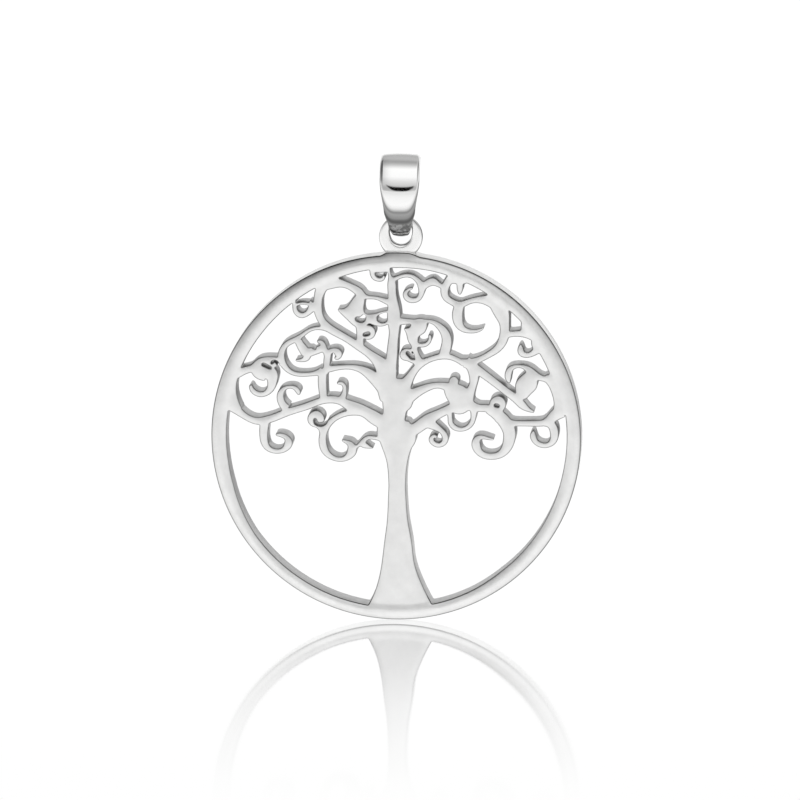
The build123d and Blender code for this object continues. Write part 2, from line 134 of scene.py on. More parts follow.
class BailSettings(bpy.types.PropertyGroup):
    """Sizes and tone of the loop."""

    strip: length("Strip", "Thickness of the bent strip", 0.5)
    crown: length("Crown", "How far the strip's middle stands over its edges", 0.10)
    roundness: number("Roundness", "How late the crown falls towards the edges", 2.2)
    edge: length("Edge rounding", "Radius on the strip's edges", 0.2)
    lower: length("Lower half", "Height of the loop under its widest place", 3.4)
    foot_drop: length("Foot drop", "How far the foot hangs under the plain oval", 0.15)
    narrowing: number("Narrowing", "How much narrower the loop is at the back", 0.2)
    colour: tint("Polished silver", "Colour of the polished silver", (0.93, 0.93, 0.925))


class StageSettings(bpy.types.PropertyGroup):
    """Camera, table and light."""

    azimuth: number("Azimuth", "Camera's turn round the pendant", CAMERA_TURN, subtype="ANGLE")
    elevation: number("Elevation", "Camera's height angle", math.radians(10.5), subtype="ANGLE")
    distance: length("Distance", "Camera's distance", 600.0)
    view_width: length("View width", "Width that the picture shows at the disc", 64.81)
    table_gap: length("Table gap", "Height of the disc's lowest point over the table", 0.19)


# -------- materials


def new_silver(name):
    """Metal material with its tree, its shader and its Object coordinates."""
    material = bpy.data.materials.new(name)
    material.use_nodes = True
    tree = material.node_tree
    shader = tree.nodes["Principled BSDF"]
    shader.inputs["Metallic"].default_value = 1.0
    return material, tree, shader, tree.nodes.new("ShaderNodeTexCoord").outputs["Object"]


def node(tree, kind, **inputs):
    """New node with some of its inputs set."""
    made = tree.nodes.new(kind)
    for key, value in inputs.items():
        made.inputs[key.replace("_", " ")].default_value = value
    return made


def noise(tree, place, scale, detail, roughness, distortion=0.0):
    """Noise texture at a place; gives its factor."""
    made = node(
        tree, "ShaderNodeTexNoise", Scale=scale, Detail=detail, Roughness=roughness,
        Distortion=distortion,
    )
    tree.links.new(place, made.inputs["Vector"])
    return made.outputs["Fac"]


def split(tree, vector):
    """The vector's X, Y and Z outputs."""
    made = tree.nodes.new("ShaderNodeSeparateXYZ")
    tree.links.new(vector, made.inputs[0])
    return made.outputs


def ramp(tree, factor, stops):
    """Colour ramp on a factor, from (place, grey) stops; gives its colour output."""
    made = tree.nodes.new("ShaderNodeValToRGB")
    elements = made.color_ramp.elements
    while len(elements) < len(stops):
        elements.new(0.5)
    for element, (place, grey) in zip(elements, stops):
        element.position = place
        element.color = (grey, grey, grey, 1)
    tree.links.new(factor, made.inputs["Fac"])
    return made.outputs["Color"]


def maths(tree, operation, a, b=0.0, clamp=False):
    """Math node on sockets or numbers; gives its output."""
    made = tree.nodes.new("ShaderNodeMath")
    made.operation = operation
    made.use_clamp = clamp
    for socket, value in zip(made.inputs, (a, b)):
        if isinstance(value, (int, float)):
            socket.default_value = value
        else:
            tree.links.new(value, socket)
    return made.outputs[0]


def mix_value(tree, factor, a, b):
    """Mix of a number and a socket, by a factor's socket."""
    step = maths(tree, "MULTIPLY", factor, maths(tree, "SUBTRACT", b, a))
    return maths(tree, "ADD", step, a)


def mix_colour(tree, factor, a, b, blend="MIX"):
    """Mix of two colours, each a socket or an RGB triple."""
    made = tree.nodes.new("ShaderNodeMix")
    made.data_type = "RGBA"
    made.blend_type = blend
    for key, value in (("Factor", factor), ("A", a), ("B", b)):
        socket = next(s for s in made.inputs if s.name == key and s.enabled)
        if isinstance(value, tuple):
            socket.default_value = (*value, 1)
        elif isinstance(value, (int, float)):
            socket.default_value = value
        else:
            tree.links.new(value, socket)
    return next(s for s in made.outputs if s.enabled)


def apart_for_camera(tree, lit, seen, kind):
    """Show the camera's own rays one shader and all other rays another."""
    path = tree.nodes.new("ShaderNodeLightPath")
    both = tree.nodes.new("ShaderNodeMixShader")
    tree.links.new(path.outputs["Is Camera Ray"], both.inputs[0])
    tree.links.new(lit.outputs[0], both.inputs[1])
    tree.links.new(seen.outputs[0], both.inputs[2])
    tree.links.new(both.outputs[0], tree.nodes.new(kind).inputs["Surface"])


def satin_silver(settings):
    """Cast and tumbled silver: light satin faces, with painted shade darkening the walls inside the
    gaps, the branches' rounded edges and the rim's outer edge.
    """
    material, tree, shader, place = new_silver("satin_silver")
    shade_attribute = tree.nodes.new("ShaderNodeAttribute")
    shade_attribute.attribute_name = "painted_shade"
    tone = ramp(tree, noise(tree, place, 900.0, 3.0, 0.55), [(0.3, 0.93), (0.7, 1.0)])
    # Painted shade from the vertex layer: up to 0.8 towards the shade colour, beyond that towards
    # near black for the painted dark lines.
    shade_paint = ramp(tree, shade_attribute.outputs["Fac"], [(0.0, 0.0), (0.8, 1.0)])
    deep = ramp(tree, shade_attribute.outputs["Fac"], [(0.8, 0.0), (1.0, 1.0)])
    face = mix_colour(tree, shade_paint, tuple(settings.colour), tuple(settings.painted_shade))
    face = mix_colour(tree, deep, face, tuple(0.08 * c for c in settings.painted_shade))
    colour = mix_colour(tree, 1.0, face, tone, "MULTIPLY")
    tree.links.new(colour, shader.inputs["Base Color"])
    grain = noise(tree, place, 2600.0, 4.0, 0.6)
    rough = ramp(tree, grain, [(0.3, 0.33), (0.7, 0.45)])
    tree.links.new(rough, shader.inputs["Roughness"])
    height = maths(
        tree, "ADD", maths(tree, "MULTIPLY", noise(tree, place, 420.0, 2.0, 0.5), 0.030 * MM),
        maths(tree, "MULTIPLY", grain, 0.0035 * MM),
    )
    bump = node(tree, "ShaderNodeBump", Strength=1.0, Distance=1.0)
    tree.links.new(height, bump.inputs["Height"])
    tree.links.new(bump.outputs["Normal"], shader.inputs["Normal"])
    return material


def ring_silver(settings):
    """Smooth drawn silver of the soldered ring, with faint cloudiness and painted shade on its
    inner and outer sides.
    """
    material, tree, shader, place = new_silver("ring_silver")
    cloud = noise(tree, place, 1400.0, 3.0, 0.55)
    light = tuple(settings.colour)
    clear = ramp(tree, cloud, [(0.35, 0.0), (0.7, 1.0)])
    colour = mix_colour(tree, clear, tuple(0.95 * c for c in light), light)
    # Painted shade on the ring's sides: silver colour on the faces, the dark shade colour where the
    # depth nears the sides.
    depth = maths(tree, "ABSOLUTE", split(tree, place)["Y"])
    depth = maths(tree, "DIVIDE", depth, settings.half_depth)
    side = ramp(tree, depth, [(0.0, 1.0), (0.7, 1.0), (0.92, 0.0), (1.0, 0.0)])
    colour = mix_colour(tree, side, colour, tuple(settings.side_shade_colour))
    tree.links.new(colour, shader.inputs["Base Color"])
    rough = ramp(tree, cloud, [(0.3, 0.16), (0.7, 0.24)])
    tree.links.new(rough, shader.inputs["Roughness"])
    return material


# How far the loop's painted reflection bands bow down at its sides, as a share of its height, and
# how late.
REFLECTION_BOW, REFLECTION_POWER = 0.36, 4.0


def polished_silver(settings):
    """Polished silver with faint rubbed haze, and painted reflection bands and painted shade
    darkening it towards the foot and along its upper left edge.
    """
    material, tree, shader, place = new_silver("polished_silver")
    apart = split(tree, place)
    low_end = BAIL_LOW.z - settings.foot_drop
    share = maths(
        tree, "DIVIDE", maths(tree, "SUBTRACT", apart["Z"], low_end), BAIL_HIGH.z - low_end
    )
    across = maths(tree, "DIVIDE", apart["X"], BAIL_HIGH.x)
    bowed = maths(tree, "POWER", maths(tree, "ABSOLUTE", across), REFLECTION_POWER)
    curved = maths(tree, "SUBTRACT", share, maths(tree, "MULTIPLY", bowed, REFLECTION_BOW))
    # Painted reflections: dark and light bands by height, bowed down at the sides, darker towards
    # the foot.
    painted_reflections = ramp(
        tree, curved,
        [(0.0, 0.34), (0.02, 0.36), (0.045, 0.55), (0.062, 0.5), (0.078, 0.24), (0.17, 0.24),
         (0.195, 0.12), (0.21, 0.1), (0.232, 0.16), (0.25, 0.27), (0.3, 0.36), (0.33, 0.25),
         (0.35, 0.5), (0.372, 0.78), (0.395, 0.92), (0.42, 1.0), (1.0, 1.0)],
    )
    # Scribbly noise within the painted reflection bands above the foot.
    scribble = noise(tree, place, 2600.0, 2.0, 0.6, 1.2)
    scribble_marks = ramp(tree, scribble, [(0.40, 0.55), (0.5, 1.0), (0.62, 1.45)])
    low = ramp(tree, share, [(0.05, 0.0), (0.08, 1.0), (0.165, 1.0), (0.19, 0.0)])
    painted_reflections = maths(tree, "MULTIPLY", painted_reflections, mix_value(tree, low, 1.0, scribble_marks))
    # Painted shade along the loop's left edge in its upper part.
    side = ramp(
        tree, maths(tree, "MULTIPLY", maths(tree, "ADD", across, 1.0), 0.5),
        [(0.0, 0.28), (0.03, 0.35), (0.07, 0.75), (0.16, 0.92), (0.25, 1.0)],
    )
    tall = ramp(
        tree, share, [(0.67, 0.0), (0.72, 0.8), (0.84, 1.0), (0.88, 0.8), (0.94, 0.3), (1.0, 0.2)]
    )
    painted_reflections = maths(tree, "MULTIPLY", painted_reflections, mix_value(tree, tall, 1.0, side))
    colour = mix_colour(tree, painted_reflections, (0.0, 0.0, 0.0), tuple(settings.colour))
    tree.links.new(colour, shader.inputs["Base Color"])
    rough = ramp(tree, noise(tree, place, 1500.0, 3.0, 0.6), [(0.3, 0.04), (0.7, 0.09)])
    rubbed = ramp(tree, share, [(0.0, 0.0), (0.9, 0.0), (0.95, 0.16), (1.0, 0.22)])
    tree.links.new(maths(tree, "ADD", rough, rubbed), shader.inputs["Roughness"])
    return material


# -------- disc outlines

# A turn sharper than this is a corner of a gap.
CORNER_TURN = math.radians(28)
# Outline points closer than this to a point don't limit its room, which is at most 1 m.
SELF_REACH = 0.02 * MM
NO_LIMIT = 1.0
# Share of its room that an edge's rounding may take, and how often its width is evened out.
ROOM_SHARE = 0.82
WIDTH_PASSES = 6
# The outer circle's point spacing as a share of the gaps', because it bends so gently.
CIRCLE_SPACING = 1.6
# Place across the disc, in mm from its middle, and how far the hand-filed crown sits higher there.
CROWN_LIFTS = ((-11.0, 0.0), (-7.2, 0.08), (-0.5, 0.17), (2.6, 0.24), (6.8, 0.24), (12.5, 0.29))
# The same, and how far the lower rim's inner edge is filed out there.
RIM_FILINGS = ((-11.0, 0.2), (-3.0, 0.2), (3.5, 0.16), (6.2, 0.1), (8.5, 0.0))
# How far each side of the trunk is filed in, and how far right the crown sits, in mm.
TRUNK_FILING = 0.07
CROWN_SLIDE = 0.05
# Where a filing sets in and where it is full, in mm from the disc's middle: up, out or across.
CROWN_UP = (-5.0, -2.0)
RIM_UP, RIM_OUT = (-4.0, -8.0), (10.5, 12.5)
TRUNK_UP, TRUNK_ACROSS = (-2.5, -4.0), (4.5, 3.0)
# Place across from the ring's middle, in mm, and share of the solder saddle's height there.
SADDLE_RISE = ((-1.7, 0.0), (-1.0, 1.0), (0.6, 1.0), (1.8, 0.0))


def from_table(table, at):
    """Value at a place, between a table's (place, value) pairs."""
    return np.interp(at, *zip(*table))


def way(value, start, end):
    """Share of the way from start to end, held between 0 and 1."""
    return np.clip((value - start) / (end - start), 0, 1)


def face_loops(name, level):
    """Closed outlines, as rows of x and z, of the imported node's flat face at that y."""
    bm = bmesh.new()
    bm.from_mesh(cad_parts[name].data)
    bmesh.ops.remove_doubles(bm, verts=bm.verts, dist=NEAR)
    on_face = {f for f in bm.faces if all(abs(v.co.y - level) < NEAR for v in f.verts)}
    ahead = {}
    for face in on_face:
        for loop in face.loops:
            if not any(other in on_face for other in loop.edge.link_faces if other is not face):
                ahead[loop.vert] = loop.link_loop_next.vert
    loops = []
    while ahead:
        first, vert = ahead.popitem()
        ring = [first.co.copy()]
        while vert is not first:
            ring.append(vert.co.copy())
            vert = ahead.pop(vert)
        loops.append(np.array([(co.x, co.z) for co in ring]))
    bm.free()
    return loops


def corner_turns(ring):
    """Signed turn at each point of a closed ring, in radians."""
    to_next = np.roll(ring, -1, axis=0) - ring
    to_here = np.roll(to_next, 1, axis=0)
    cross = to_here[:, 0] * to_next[:, 1] - to_here[:, 1] * to_next[:, 0]
    return np.arctan2(cross, (to_here * to_next).sum(1))


def resampled(ring, spacing):
    """The ring with even spacing between its corners."""
    steps = np.linalg.norm(np.roll(ring, -1, axis=0) - ring, axis=1)
    ring = ring[steps > NEAR]
    corners = [i for i, turn in enumerate(corner_turns(ring)) if abs(turn) > CORNER_TURN]
    if corners:
        ring = np.roll(ring, -corners[0], axis=0)
        corners = [c - corners[0] for c in corners]
    else:
        corners = [0]
    points = []
    for a, b in zip(corners, corners[1:] + [len(ring)]):
        run = np.vstack([ring[a:b], ring[b % len(ring)][None]])
        along = np.concatenate([[0], np.cumsum(np.linalg.norm(np.diff(run, axis=0), axis=1))])
        count = max(1, round(along[-1] / spacing))
        at = np.linspace(0, along[-1], count + 1)[:-1]
        points += list(zip(np.interp(at, along, run[:, 0]), np.interp(at, along, run[:, 1])))
    return np.array(points)


def blended(points, reach, spacing):
    """The ring with its corners and small kinks rounded off."""
    count = max(1, round((reach / spacing) ** 2 * 2))
    for _ in range(count):
        points = (np.roll(points, 1, axis=0) + 2 * points + np.roll(points, -1, axis=0)) / 4
    return points


def into_metal(points, metal_left):
    """Unit normal into the metal at each point of a closed outline."""
    to_next = np.roll(points, -1, axis=0) - points
    to_next /= np.linalg.norm(to_next, axis=1)[:, None]
    side = np.stack([-to_next[:, 1], to_next[:, 0]], axis=1) * (1 if metal_left else -1)
    middle = np.roll(side, 1, axis=0) + side
    return middle / np.maximum(np.linalg.norm(middle, axis=1), 1e-9)[:, None]


def room_inside(points, normals):
    """Radius of the largest circle in the metal that touches each outline point."""
    room = np.full(len(points), NO_LIMIT)
    block = 400
    for start in range(0, len(points), block):
        here = points[start : start + block]
        away = points[None, :, :] - here[:, None, :]
        far = (away**2).sum(2)
        facing = 2 * (away * normals[start : start + block, None, :]).sum(2)
        with np.errstate(divide="ignore", invalid="ignore"):
            counts = (facing > 1e-9) & (far > SELF_REACH**2)
            radius = np.where(counts, far / facing, NO_LIMIT)
        room[start : start + block] = radius.min(1)
    return room


def filed(points):
    """The outline's points after filing: crown a little higher, lower rim and trunk thinner."""
    across = (points[:, 0] - DISC_X) / MM
    height = (points[:, 1] - DISC_Z) / MM
    reach = np.hypot(across, height)
    crown = way(height, *CROWN_UP)
    rim = way(height, *RIM_UP) * way(reach, *RIM_OUT)
    trunk = way(height, *TRUNK_UP) * way(np.abs(across), *TRUNK_ACROSS)
    lift = from_table(CROWN_LIFTS, across) * crown
    push = from_table(RIM_FILINGS, across) * rim / np.maximum(reach, 1.0)
    slide = CROWN_SLIDE * crown - TRUNK_FILING * trunk * np.sign(across)
    moved = np.stack([slide + push * across, lift + push * height], axis=1)
    return points + moved * MM


class Outline:
    """One closed outline with its normals and the width of its edge's rounding."""

    def __init__(self, points, normals, outer):
        self.points, self.normals, self.outer = points, normals, outer
        self.round = None


def outer_circle(settings):
    """The disc's outer outline, raised a little by solder under the ring."""
    count = round(2 * math.pi * DISC_RADIUS / (settings.spacing * CIRCLE_SPACING))
    angle = np.arange(count) * 2 * math.pi / count
    circle = np.stack([np.cos(angle), np.sin(angle)], axis=1)
    across = (circle[:, 0] * DISC_RADIUS + DISC_X) / MM
    share = from_table(SADDLE_RISE, across) * (circle[:, 1] > 0)
    radius = DISC_RADIUS + settings.saddle * share * share * (3 - 2 * share)
    return Outline(np.array([DISC_X, DISC_Z]) + circle * radius[:, None], -circle, True)


def disc_outlines(settings):
    """The disc's outer circle and every gap's outline, resampled, with their rounding."""
    outlines = [outer_circle(settings)]
    centre = np.array([DISC_X, DISC_Z])
    for ring in face_loops("tree_disc", FRONT):
        reach = np.linalg.norm(ring - centre, axis=1).max()
        if reach > DISC_RADIUS - settings.rim_width / 2:
            continue  # the disc's outer edge, which outer_circle makes
        points = resampled(ring, settings.spacing)
        points = filed(blended(points, settings.corner_blend, settings.spacing))
        after = np.roll(points, -1, axis=0)
        area = 0.5 * np.sum(points[:, 0] * after[:, 1] - after[:, 0] * points[:, 1])
        outlines.append(Outline(points, into_metal(points, area < 0), False))
    every = np.vstack([o.points for o in outlines])
    room = room_inside(every, np.vstack([o.normals for o in outlines]))
    start = 0
    for outline in outlines:
        limit = ROOM_SHARE * room[start : start + len(outline.points)]
        start += len(outline.points)
        wish = settings.rim_round if outline.outer else settings.edge_round
        width = np.minimum(wish, limit)
        for _ in range(WIDTH_PASSES):
            spread = (np.roll(width, 1) + width + np.roll(width, -1)) / 3
            width = np.minimum(spread, limit)
        outline.round = width
    return outlines


# -------- disc mesh

ROUND_STEPS = 4
# Painted shade: how dark the silver is painted from a gap's wall, over the rounded edge, to the
# face, and on the rim.
EDGE_SHADE_SHARES = (0.42, 0.66, 0.62, 0.2, 0.0)
RIM_SHADE_SHARES = (0.0, 0.8, 0.8, 0.4, 0.1)
# Clockwise turn from the disc's top, in degrees, and how black the painted shade line on the rim's
# outer edge is.
TOP_SHADE_LINE = ((-52, 0.0), (-36, 0.4), (-24, 1.0), (5, 1.0), (12, 0.5), (30, 0.4), (50, 0.0))
# Turn away from the disc's foot, and how black the painted shade line inside the rim is there; how
# far inside the rim that painted line sets in and is full.
FOOT_SHADE_LINE_REACH = (0.7 * MM, 0.4 * MM)
FOOT_SHADE_LINE = ((0, 1.0), (19, 1.0), (26, 0.6), (36, 0.2), (60, 0.0))
# The painted top shade's middle and reach, as turns from the disc's top in degrees, and how late it
# darkens from the rim's crest outwards.
TOP_SHADE_TURN, TOP_SHADE_REACH, TOP_SHADE_POWER = -14, 22, 1.6
# Most of the open space round a place that counts where the tumbled face bends down.
OPEN_LIMIT = 0.6
# The cap's own points: their pitch in outline spacings, and a row's height as a share of it.
CAP_PITCH = 2.0
CAP_ROW = 0.866
# How far the mask is blurred for the cap's points, how much metal it then shows where such a
# point has room, and the point's gap to the rim's rounding.
CAP_BLUR = 0.09 * MM
CAP_WIDE = 0.9995
CAP_MARGIN = 0.08 * MM


class Pillow:
    """Smooth share, 0 to 1, of metal round each place, which lifts the tumbled face."""

    CELL = 0.02 * MM

    def __init__(self, outlines, settings):
        self.crest = DISC_RADIUS - settings.rim_crest
        self.inner = DISC_RADIUS - settings.rim_width
        self.settings = settings
        self.size = 2 * math.ceil((DISC_RADIUS + 1.0 * MM) / self.CELL)
        self.low = np.array([DISC_X, DISC_Z]) - self.size / 2 * self.CELL
        step = np.zeros((self.size, self.size + 1))
        for outline in outlines:
            start = (outline.points - self.low) / self.CELL
            for a, b in zip(start, np.roll(start, -1, axis=0)):
                turn = 1 if a[1] > b[1] else -1
                if turn > 0:
                    a, b = b, a
                rows = np.arange(math.ceil(a[1] - 0.5), math.ceil(b[1] - 0.5))
                if len(rows):
                    cross = a[0] + (rows + 0.5 - a[1]) * (b[0] - a[0]) / (b[1] - a[1])
                    np.add.at(step, (rows, np.ceil(cross - 0.5).astype(int)), turn)
        mask = (np.cumsum(step, axis=1)[:, :-1] > 0.5).astype(float)
        self.near = self.blurred(mask, CAP_BLUR)
        self.share = self.blurred(mask, settings.pillow_reach)

    def blurred(self, mask, reach):
        """The mask of metal after a Gaussian blur."""
        wave = np.fft.fftfreq(self.size, self.CELL)
        soft = np.exp(-2 * (math.pi * wave * reach) ** 2)
        return np.real(np.fft.ifft2(np.fft.fft2(mask) * soft[:, None] * soft[None, :]))

    def read(self, field, x, z):
        """A field's values between its cells."""
        u = (np.asarray(x) - self.low[0]) / self.CELL - 0.5
        v = (np.asarray(z) - self.low[1]) / self.CELL - 0.5
        i = np.clip(np.floor(u).astype(int), 0, self.size - 2)
        j = np.clip(np.floor(v).astype(int), 0, self.size - 2)
        s, t = u - i, v - j
        near = field[j, i] * (1 - s) + field[j, i + 1] * s
        far = field[j + 1, i] * (1 - s) + field[j + 1, i + 1] * s
        return near * (1 - t) + far * t

    def polar(self, x, z):
        """Distance from the disc's middle, and clockwise turn from its top in degrees."""
        x, z = np.asarray(x) - DISC_X, np.asarray(z) - DISC_Z
        return np.hypot(x, z), np.degrees(np.arctan2(x, z))

    def outward(self, reach):
        """Share of the way from the rim's crest to its outer edge."""
        return way(reach, self.crest, DISC_RADIUS)

    def level(self, x, z, sign):
        """Distance of the tumbled front, or of the flat back, from the disc's middle plane."""
        half = (BACK - FRONT) / 2
        if sign > 0:
            return np.full(np.shape(x), half)
        share = np.clip(self.read(self.share, x, z), 0.0, 1.0)
        reach, _ = self.polar(x, z)
        inward = way(reach, self.crest, self.inner)
        fall, sink = self.settings.rim_fall, self.settings.tree_sink
        dome = fall * self.outward(reach) ** 2 + sink * inward**2
        return half - 2 * self.settings.pillow_height * np.clip(1 - share, 0, OPEN_LIMIT) - dome

    def top_shaded(self, x, z):
        """How dark the painted shade round the top, under the soldered ring, is on the front's
        outer shoulder.
        """
        reach, turn = self.polar(x, z)
        near = np.exp(-(((turn - TOP_SHADE_TURN) / TOP_SHADE_REACH) ** 2))
        return self.settings.top_shade * self.outward(reach) ** TOP_SHADE_POWER * near

    def line(self, x, z, outer):
        """How black the painted shade line on the front edge is: by the ring, and inside the rim's
        foot.
        """
        reach, turn = self.polar(x, z)
        if outer:
            return from_table(TOP_SHADE_LINE, turn)
        by_rim = way(self.inner - reach, *FOOT_SHADE_LINE_REACH)
        return by_rim * from_table(FOOT_SHADE_LINE, 180 - np.abs(turn))


def band(low, high, faces):
    """Add the faces between two closed rows of as many points."""
    size = len(low)
    for k in range(size):
        j = (k + 1) % size
        faces.append((low[k], low[j], high[j], high[k]))


def disc_side(settings, outlines, pillow, sign, verts, faces, painted_shade):
    """Rounded edges and cap of one side; sign is -1 for the front and 1 for the back."""
    rings = []
    ease = settings.back_share if sign > 0 else 1.0
    for outline in outlines:
        levels = []
        shares = RIM_SHADE_SHARES if outline.outer else EDGE_SHADE_SHARES
        for step in range(ROUND_STEPS + 1):
            angle = math.pi / 2 * step / ROUND_STEPS
            inset = ease * outline.round * (1 - math.cos(angle))
            depth = ease * outline.round / settings.edge_round * settings.edge_rise
            place = outline.points + outline.normals * inset[:, None]
            across, up = place.T
            level = pillow.level(across, up, sign) - depth * (1 - math.sin(angle))
            start = len(verts)
            verts += list(zip(across, sign * level, up))
            # Painted shade for this row of points: the edge's painted shade share, on the front
            # also the painted top shade.
            tone = np.full(len(place), shares[step])
            if sign < 0 and step > 1:
                tone = np.maximum(tone, pillow.top_shaded(across, up))
            # Painted dark shade lines along the front's rounded edge.
            if sign < 0 and step in (1, 2):
                tone += (1.0 - tone) * pillow.line(across, up, outline.outer)
            painted_shade += list(tone)
            levels.append(range(start, start + len(place)))
        rings.append(levels)
        for low, high in zip(levels, levels[1:]):
            band(low, high, faces)
    return rings


def cap(settings, pillow, rings, sign, verts, faces, painted_shade):
    """Tumbled face between the innermost rings, with extra points where it is wide."""
    flat, edges, back_to = [], [], []
    for levels in rings:
        inner = levels[-1]
        start = len(flat)
        size = len(inner)
        flat += [Vector((verts[i][0], verts[i][2])) for i in inner]
        back_to += list(inner)
        edges += [(start + k, start + (k + 1) % size) for k in range(size)]
    pitch = settings.spacing * CAP_PITCH
    rows = int(2 * DISC_RADIUS / (pitch * CAP_ROW))
    limit = DISC_RADIUS - settings.rim_round - CAP_MARGIN
    for row in range(rows):
        z = DISC_Z - DISC_RADIUS + (row + 0.5) * pitch * CAP_ROW
        x = np.arange(DISC_X - DISC_RADIUS + (row % 2) * pitch / 2, DISC_X + DISC_RADIUS, pitch)
        wide = pillow.read(pillow.near, x, np.full(len(x), z)) > CAP_WIDE
        wide &= np.hypot(x - DISC_X, z - DISC_Z) < limit
        for at in x[wide]:
            flat.append(Vector((at, z)))
            back_to.append(None)
    made, lines, triangles, origins, line_origins, _ = delaunay_2d_cdt(flat, edges, [], 0, 1e-9)
    index = []
    for point, origin in zip(made, origins):
        known = [back_to[o] for o in origin if back_to[o] is not None]
        if known:
            index.append(known[0])
        else:
            level = float(pillow.level(point.x, point.y, sign))
            # Painted top shade on the front cap's own points.
            painted_shade.append(float(pillow.top_shaded(point.x, point.y)) if sign < 0 else 0.0)
            index.append(len(verts))
            verts.append((point.x, sign * level, point.y))
    kept = in_metal(flat, edges, made, lines, line_origins, triangles)
    faces += [tuple(index[i] for i in triangle) for triangle in kept]


def in_metal(flat, edges, made, lines, line_origins, triangles):
    """Triangles that the outlines wind round: outlines run with the metal on their left."""
    change = {}
    for (a, b), origin in zip(lines, line_origins):
        turns = 0
        for number in origin:
            if number < len(edges):
                start, end = edges[number]
                along = (flat[end] - flat[start]).dot(made[b] - made[a])
                turns += 1 if along > 0 else -1
        if turns:
            change[(a, b)] = turns
            change[(b, a)] = -turns
    beside = {}
    for number, triangle in enumerate(triangles):
        for k in range(3):
            beside[(triangle[k], triangle[(k + 1) % 3])] = number
    winding = {}
    waiting = []
    for (a, b), number in beside.items():
        if (b, a) not in beside and number not in winding:
            winding[number] = change.get((a, b), 0)
            waiting.append(number)
    while waiting:
        number = waiting.pop()
        triangle = triangles[number]
        for k in range(3):
            a, b = triangle[k], triangle[(k + 1) % 3]
            other = beside.get((b, a))
            if other is not None and other not in winding:
                winding[other] = winding[number] - change.get((a, b), 0)
                waiting.append(other)
    return [t for number, t in enumerate(triangles) if winding.get(number, 0) > 0]


def disc_mesh(settings):
    """The whole cast disc: two rounded, capped sides and the walls between them."""
    outlines = disc_outlines(settings)
    pillow = Pillow(outlines, settings)
    verts, faces, painted_shade = [], [], []
    front = disc_side(settings, outlines, pillow, -1, verts, faces, painted_shade)
    back = disc_side(settings, outlines, pillow, 1, verts, faces, painted_shade)
    for a, b in zip(front, back):
        band(a[0], b[0], faces)
    cap(settings, pillow, front, -1, verts, faces, painted_shade)
    cap(settings, pillow, back, 1, verts, faces, painted_shade)
    bm = bmesh.new()
    # Vertex layer that carries the painted shade to the material.
    shade_paint = bm.verts.layers.float.new("painted_shade")
    made = [bm.verts.new(v) for v in verts]
    for vert, share in zip(made, painted_shade):
        vert[shade_paint] = share
    for face in faces:
        corners = [made[i] for i in face]
        if len(set(face)) == len(face) and bm.faces.get(corners) is None:
            bm.faces.new(corners)
    for face in bm.faces:
        face.smooth = True
    return written(bm, bpy.data.meshes.new("tree_disc_cast"))


def written(bm, mesh):
    """The mesh with the bmesh's faces, doubled points merged and normals turned outward."""
    bmesh.ops.remove_doubles(bm, verts=bm.verts, dist=2 * NEAR)
    bmesh.ops.recalc_face_normals(bm, faces=bm.faces)
    bm.to_mesh(mesh)
    bm.free()
    return mesh


def linked(data):
    """New object for a mesh or a camera, in the scene."""
    piece = bpy.data.objects.new(data.name, data)
    bpy.context.scene.collection.objects.link(piece)
    return piece


def add_piece(mesh, material):
    """New object for a mesh, with its material."""
    mesh.materials.append(material)
    return linked(mesh)


# -------- eye ring


# Points round the ring, and round its section.
RING_STEPS = 160
SECTION_STEPS = 40
# How square the section is: powers on its cosine, along the radius, and on its sine, in depth.
RADIUS_POWER, DEPTH_POWER = 0.4, 0.35
# The solder foot's outline: place across, and height over the disc's top, in mm.
SOLDER_FOOT = (
    (-1.36, -0.5), (-1.27, -0.04), (-1.1, 0.2), (1.1, 0.2), (1.27, -0.04), (1.36, -0.5),
)
FOOT_HALF_DEPTH = 0.36 * MM
MELT_CELL = 0.04 * MM
SOFTEN_PASSES = 6


def signed_power(value, power):
    """A power that keeps the value's sign."""
    return math.copysign(abs(value) ** power, value)


def eye_mesh(settings):
    """Flattened ring, thicker below its hole, melted into one skin with its solder foot."""
    middle_z = BAIL_LOW.z - settings.drop
    rise, hole = settings.hole_rise, settings.hole_radius
    bm = bmesh.new()
    rows = []
    for k in range(RING_STEPS):
        turn = 2 * math.pi * k / RING_STEPS
        way_x, way_z = math.cos(turn), math.sin(turn)
        inner = rise * way_z + math.sqrt(hole**2 - (rise * way_x) ** 2)
        inner += settings.wear * max(way_z, 0.0) ** 2
        mean, half = (settings.outer_radius + inner) / 2, (settings.outer_radius - inner) / 2
        row = []
        for i in range(SECTION_STEPS):
            angle = 2 * math.pi * i / SECTION_STEPS
            reach = mean + half * signed_power(math.cos(angle), RADIUS_POWER)
            depth = settings.half_depth * signed_power(math.sin(angle), DEPTH_POWER)
            row.append(bm.verts.new((reach * way_x, depth, middle_z + reach * way_z)))
        rows.append(row)
    faces = []
    for here, there in zip(rows, rows[1:] + rows[:1]):
        band(here, there, faces)
    top = DISC_Z + DISC_RADIUS
    front, back = (
        [bm.verts.new((x * MM, y, top + z * MM)) for x, z in SOLDER_FOOT]
        for y in (-FOOT_HALF_DEPTH, FOOT_HALF_DEPTH)
    )
    faces += [front, back[::-1]]
    band(front, back, faces)
    for face in faces:
        bm.faces.new(face)
    blank = linked(written(bm, bpy.data.meshes.new("eye_blank")))
    melt = blank.modifiers.new("melt", "REMESH")
    melt.mode = "VOXEL"
    melt.voxel_size = MELT_CELL
    melt.use_smooth_shade = True
    soften = blank.modifiers.new("soften", "SMOOTH")
    soften.factor = 0.5
    soften.iterations = SOFTEN_PASSES
    return baked(blank, "eye_ring")


